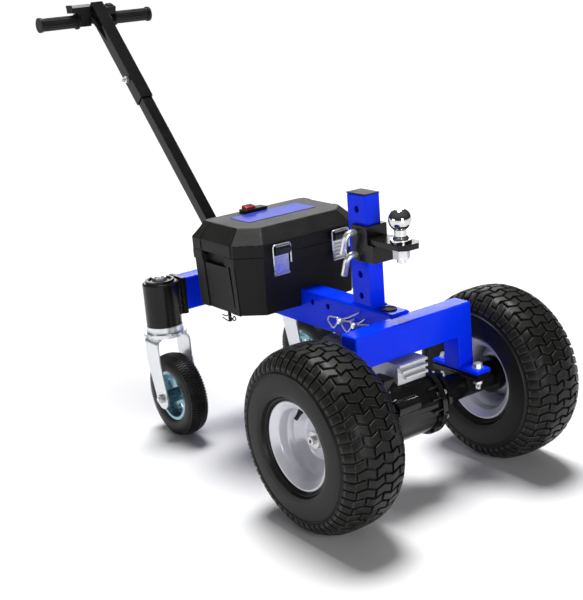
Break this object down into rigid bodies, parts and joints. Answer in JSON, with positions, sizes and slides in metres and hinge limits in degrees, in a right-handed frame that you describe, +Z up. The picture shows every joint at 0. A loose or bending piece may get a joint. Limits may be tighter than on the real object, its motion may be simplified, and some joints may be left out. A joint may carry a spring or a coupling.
{
  "type": "electric trailer dolly",
  "caption": "Powered walk-behind dolly that moves a trailer by its coupler: turf drive wheels, hitch post with ball, battery case, rear casters and a raked sliding handle.",
  "frame": {"origin": "middle of the footprint, on the ground", "axes": "+X forward from the handle to the hitch ball, +Y to the left across the dolly, +Z up"},
  "size_m": [1.4284, 0.644, 1.0163],
  "materials": {
    "frame_blue": "glossy blue powder coat",
    "black_steel": "black powder coat",
    "black_casting": "black painted casting",
    "motor_grey": "dark grey paint",
    "alloy": "bare cast alloy",
    "chrome": "bright chrome",
    "zinc": "bright zinc plate",
    "rim_silver": "silver paint",
    "hub_steel": "machined steel",
    "tyre_rubber": "matt black rubber",
    "grip_rubber": "fluted black rubber",
    "case_plastic": "grained black plastic",
    "battery_grey": "plain grey plastic",
    "panel_blue": "blue plastic",
    "switch_red": "red rocker on a black base"
  },
  "bodies": {
    "chassis": {"spine": "frame_blue", "front_beam": "frame_blue", "spine_plug": "case_plastic", "spine_pins": "zinc", "frame_pin": "black_steel", "hitch_post": "frame_blue", "post_cap": "case_plastic", "ball_mount": "black_steel", "hitch_ball": "chrome", "ball_nut": "chrome", "hitch_pins": "zinc", "transaxle": "black_casting", "foot_bolts": "zinc", "motor_bell": "alloy", "drive_motor": "motor_grey", "rear_crossbar": "frame_blue", "caster_housing_right": "black_steel", "caster_housing_left": "black_steel", "handle_socket": "black_steel", "handle_tube": "black_steel", "battery_case": "case_plastic", "battery_pack": "battery_grey", "latch_levers": "zinc"},
    "lid": {"box_lid": "case_plastic", "lid_label": "panel_blue", "power_switch": "switch_red", "latch_bails": "zinc"},
    "handle": {"handle_sleeve": "black_steel", "handle_bar": "black_steel", "grip_right": "grip_rubber", "grip_left": "grip_rubber", "speed_box": "case_plastic", "thumb_switch": "case_plastic", "sleeve_bolt": "zinc"},
    "drive_wheel_right": {"drive_tyre_right": "tyre_rubber", "drive_rim_right": "rim_silver", "drive_hub_right": "hub_steel"},
    "caster_right": {"caster_fork_right": "zinc", "caster_axle_right": "zinc"},
    "caster_wheel_right": {"caster_tyre_right": "tyre_rubber", "caster_rim_right": "rim_silver"},
    "drive_wheel_left": {"drive_tyre_left": "tyre_rubber", "drive_rim_left": "rim_silver", "drive_hub_left": "hub_steel"},
    "caster_left": {"caster_fork_left": "zinc", "caster_axle_left": "zinc"},
    "caster_wheel_left": {"caster_tyre_left": "tyre_rubber", "caster_rim_left": "rim_silver"}
  },
  "joints": [
    {"name": "drive_wheel_right_spin", "type": "hinge", "parent": "chassis", "child": "drive_wheel_right", "pos_m": [0.5237, -0.246, 0.1905], "axis": [0, 1, 0], "continuous": true},
    {"name": "caster_right_swivel", "type": "hinge", "parent": "chassis", "child": "caster_right", "pos_m": [-0.1313, -0.2035, 0.262], "axis": [0, 0, 1], "continuous": true},
    {"name": "caster_wheel_right_spin", "type": "hinge", "parent": "caster_right", "child": "caster_wheel_right", "pos_m": [-0.1013, -0.2035, 0.102], "axis": [0, 1, 0], "continuous": true},
    {"name": "drive_wheel_left_spin", "type": "hinge", "parent": "chassis", "child": "drive_wheel_left", "pos_m": [0.5237, 0.246, 0.1905], "axis": [0, 1, 0], "continuous": true},
    {"name": "caster_left_swivel", "type": "hinge", "parent": "chassis", "child": "caster_left", "pos_m": [-0.1313, 0.2035, 0.262], "axis": [0, 0, 1], "continuous": true},
    {"name": "caster_wheel_left_spin", "type": "hinge", "parent": "caster_left", "child": "caster_wheel_left", "pos_m": [-0.1013, 0.2035, 0.102], "axis": [0, 1, 0], "continuous": true},
    {"name": "lid_hinge", "type": "hinge", "parent": "chassis", "child": "lid", "pos_m": [-0.0323, 0, 0.479], "axis": [0, -1, 0], "range_deg": [0, 110]},
    {"name": "handle_slide", "type": "slide", "parent": "chassis", "child": "handle", "axis": [-0.6691, 0, 0.7431], "range_m": [-0.06, 0.15]}
  ]
}
